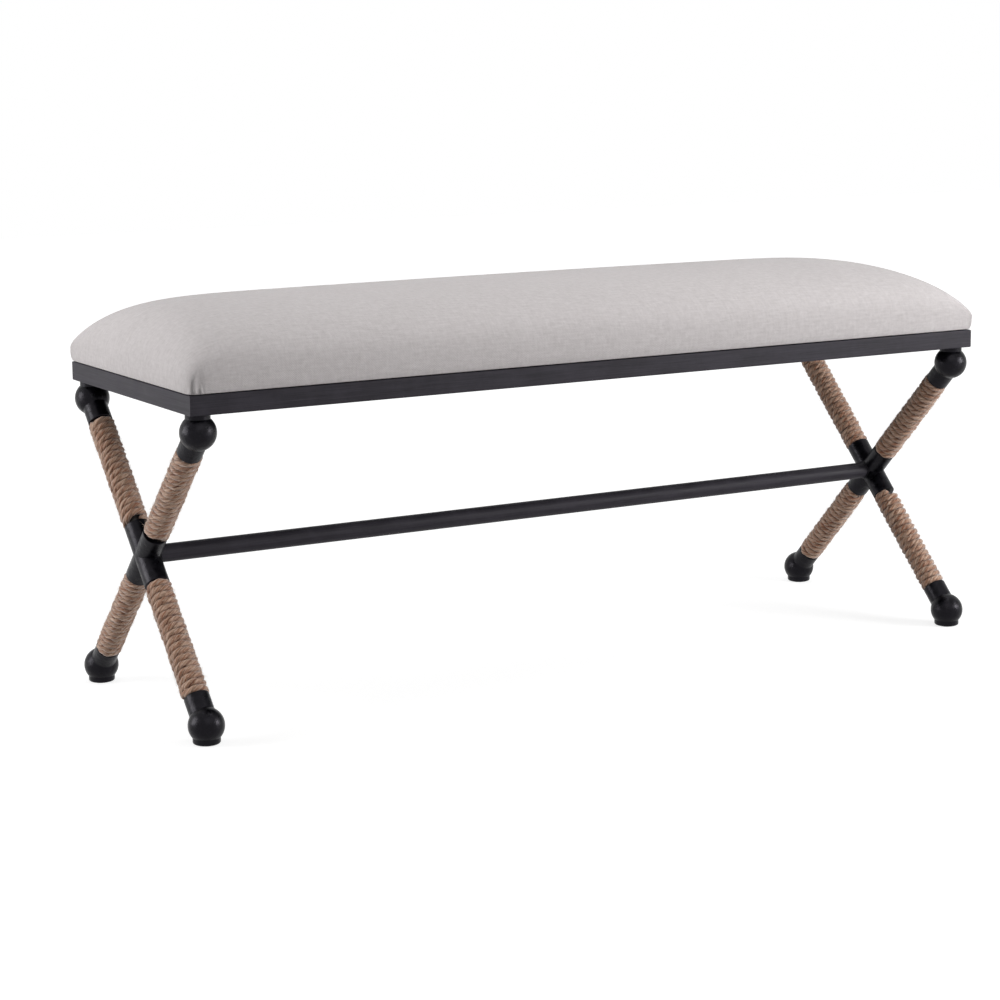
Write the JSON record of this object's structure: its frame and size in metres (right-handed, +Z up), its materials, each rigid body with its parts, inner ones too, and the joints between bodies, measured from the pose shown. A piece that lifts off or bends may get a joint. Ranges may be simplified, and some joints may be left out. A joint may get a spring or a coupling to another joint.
{
  "type": "entryway bench",
  "caption": "Long upholstered bench on a flat steel frame, carried by rope-wrapped X frames with ball ends and tied by a low round stretcher.",
  "frame": {"origin": "on the floor, under the middle of the bench: the centre of the bounding box's bottom face", "axes": "+X along the bench's length, to the right of someone who faces its front; -Y towards the front; +Z up"},
  "size_m": [1.2302, 0.4174, 0.537],
  "materials": {
    "rail_paint": "rubbed charcoal paint over steel, satin, faintly streaked",
    "black_iron": "near-black satin iron with a fine cast texture",
    "leg_steel": "black primer under the rope",
    "jute_rope": "natural jute rope, matte and hairy",
    "linen": "oatmeal linen, matte plain weave with slubs",
    "foam": "open-cell foam, matte",
    "plywood": "plain plywood, unfinished",
    "dust_cloth": "thin black non-woven cloth, matte",
    "zinc": "zinc-plated steel",
    "nylon": "black nylon, matte"
  },
  "bodies": {
    "root": {"front_rail": "rail_paint", "back_rail": "rail_paint", "left_rail": "rail_paint", "right_rail": "rail_paint", "left_cross_bar": "rail_paint", "middle_cross_bar": "rail_paint", "right_cross_bar": "rail_paint", "seat_board": "plywood", "foam_pad": "foam", "seat_cover": "linen", "dust_cover": "dust_cloth", "seat_screws": "zinc", "ball_bolts": "zinc", "left_cross_hub": "black_iron", "right_cross_hub": "black_iron", "stretcher_tube": "black_iron", "front_left_top_ball": "black_iron", "front_left_foot_ball": "black_iron", "front_left_glide": "nylon", "front_left_upper_tube": "leg_steel", "front_left_upper_rope": "jute_rope", "front_left_lower_tube": "leg_steel", "front_left_lower_rope": "jute_rope", "back_left_top_ball": "black_iron", "back_left_foot_ball": "black_iron", "back_left_glide": "nylon", "back_left_upper_tube": "leg_steel", "back_left_upper_rope": "jute_rope", "back_left_lower_tube": "leg_steel", "back_left_lower_rope": "jute_rope", "front_right_top_ball": "black_iron", "front_right_foot_ball": "black_iron", "front_right_glide": "nylon", "front_right_upper_tube": "leg_steel", "front_right_upper_rope": "jute_rope", "front_right_lower_tube": "leg_steel", "front_right_lower_rope": "jute_rope", "back_right_top_ball": "black_iron", "back_right_foot_ball": "black_iron", "back_right_glide": "nylon", "back_right_upper_tube": "leg_steel", "back_right_upper_rope": "jute_rope", "back_right_lower_tube": "leg_steel", "back_right_lower_rope": "jute_rope"}
  },
  "joints": []
}
